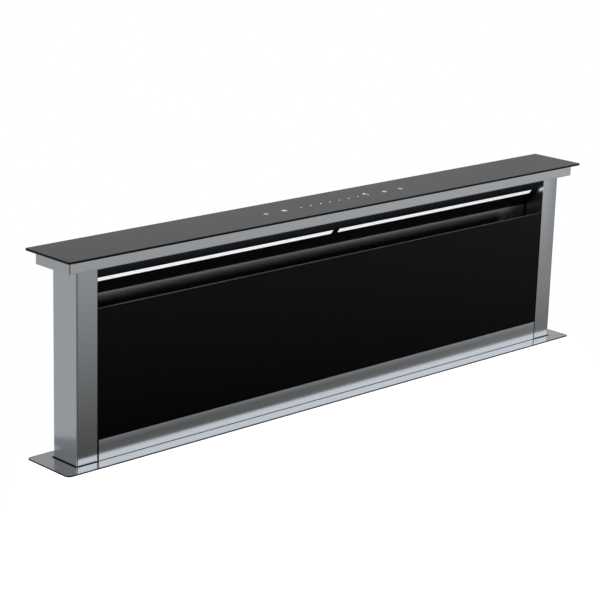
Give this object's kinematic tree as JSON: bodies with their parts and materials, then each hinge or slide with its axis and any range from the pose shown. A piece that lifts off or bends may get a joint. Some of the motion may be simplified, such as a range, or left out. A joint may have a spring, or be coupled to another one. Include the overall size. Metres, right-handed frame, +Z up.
{
  "type": "downdraft vent",
  "caption": "Rising worktop downdraft vent: a glass-topped steel head with a lit intake slot lifts out of an under-counter chassis with screw drive, blower and duct outlet.",
  "frame": {"origin": "centre of the worktop cut-out, in the plane of the worktop, which is the underside of the flange", "axes": "+X along the vent to the right, -Y to the front, +Z up; the head is raised"},
  "size_m": [1.181, 0.2555, 0.7613],
  "materials": {
    "satin_steel": "satin brushed stainless steel, grain along each strip",
    "black_glass": "black back-printed toughened glass, polished",
    "black_sheet": "black semi-gloss powder coat",
    "galvanised_steel": "plain galvanised sheet",
    "filter_aluminium": "mill-finish aluminium",
    "light_diffuser": "white translucent diffuser, lit",
    "circuit_board": "white solder mask",
    "black_plastic": "fine-textured black plastic",
    "white_nylon": "natural nylon",
    "bronze": "turned bronze",
    "bright_steel": "turned and ground steel",
    "motor_black": "black enamelled motor can",
    "rubber": "black rubber"
  },
  "bodies": {
    "chassis": {"blower_cover": "galvanised_steel", "blower_motor": "motor_black", "blower_scroll": "galvanised_steel", "cable_gland": "black_plastic", "chassis_end_left": "galvanised_steel", "chassis_end_right": "galvanised_steel", "chassis_floor": "galvanised_steel", "chassis_front_panel": "galvanised_steel", "chassis_rear_panel": "galvanised_steel", "control_box": "black_plastic", "control_box_lid": "black_plastic", "drive_belt": "rubber", "drive_cover": "galvanised_steel", "fixing_bracket_left": "galvanised_steel", "fixing_bracket_right": "galvanised_steel", "flange_seal": "rubber", "guide_rail_left": "galvanised_steel", "guide_rail_right": "galvanised_steel", "lift_motor": "motor_black", "limit_switches": "black_plastic", "motor_shelf": "galvanised_steel", "outlet_adaptor": "galvanised_steel", "outlet_collar": "galvanised_steel", "panel_screws": "bright_steel", "screw_bearings": "white_nylon", "worktop_flange": "satin_steel"},
    "head": {"top_glass": "black_glass", "top_tray": "satin_steel", "touch_module": "black_plastic", "column_left": "satin_steel", "column_right": "satin_steel", "side_liner_left": "black_sheet", "side_liner_right": "black_sheet", "rear_panel": "satin_steel", "channel_wall": "black_sheet", "light_panel": "black_sheet", "led_diffuser_left": "light_diffuser", "led_diffuser_right": "light_diffuser", "led_boards": "circuit_board", "front_glass": "black_glass", "glass_carrier": "black_sheet", "panel_magnets": "bright_steel", "front_band": "satin_steel", "grease_filter_left": "filter_aluminium", "grease_filter_right": "filter_aluminium", "lift_bracket_left": "galvanised_steel", "lift_bracket_right": "galvanised_steel", "lift_nut_left": "bronze", "lift_nut_right": "bronze", "glide_shoe_left": "white_nylon", "glide_shoe_right": "white_nylon"},
    "screw_left": {"lead_screw_left": "bright_steel", "screw_pulley_left": "bright_steel"},
    "screw_right": {"lead_screw_right": "bright_steel", "screw_pulley_right": "bright_steel"},
    "motor_drive": {"motor_pulley": "bright_steel"},
    "fan": {"impeller": "black_plastic"},
    "flap_front": {"damper_flap_front": "filter_aluminium"},
    "flap_rear": {"damper_flap_rear": "filter_aluminium"}
  },
  "joints": [
    {"name": "head_lift", "type": "slide", "parent": "chassis", "child": "head", "axis": [0, 0, 1], "range_m": [-0.3063, 0]},
    {"name": "screw_left_turn", "type": "hinge", "parent": "chassis", "child": "screw_left", "pos_m": [-0.5365, 0, 0], "axis": [0, 0, 1], "range_deg": [0, 11028]},
    {"name": "screw_right_turn", "type": "hinge", "parent": "chassis", "child": "screw_right", "pos_m": [0.5365, 0, 0], "axis": [0, 0, 1], "range_deg": [0, 11028]},
    {"name": "motor_turn", "type": "hinge", "parent": "chassis", "child": "motor_drive", "pos_m": [-0.3, -0.078, 0], "axis": [0, 0, 1], "range_deg": [0, 15439]},
    {"name": "fan_spin", "type": "hinge", "parent": "chassis", "child": "fan", "pos_m": [-0.06, -0.119, -0.205], "axis": [0, 1, 0], "continuous": true},
    {"name": "flap_front_swing", "type": "hinge", "parent": "chassis", "child": "flap_front", "pos_m": [0.201, -0.1216, -0.3], "axis": [0, 0, 1], "range_deg": [0, 75]},
    {"name": "flap_rear_swing", "type": "hinge", "parent": "chassis", "child": "flap_rear", "pos_m": [0.201, -0.1216, -0.3], "axis": [0, 0, 1], "range_deg": [-75, 0]}
  ],
  "couplings": [
    {"joint": "screw_left_turn", "follows": "head_lift", "rad_per_m": -628.32},
    {"joint": "screw_right_turn", "follows": "head_lift", "rad_per_m": -628.32},
    {"joint": "motor_turn", "follows": "head_lift", "rad_per_m": -879.65}
  ]
}
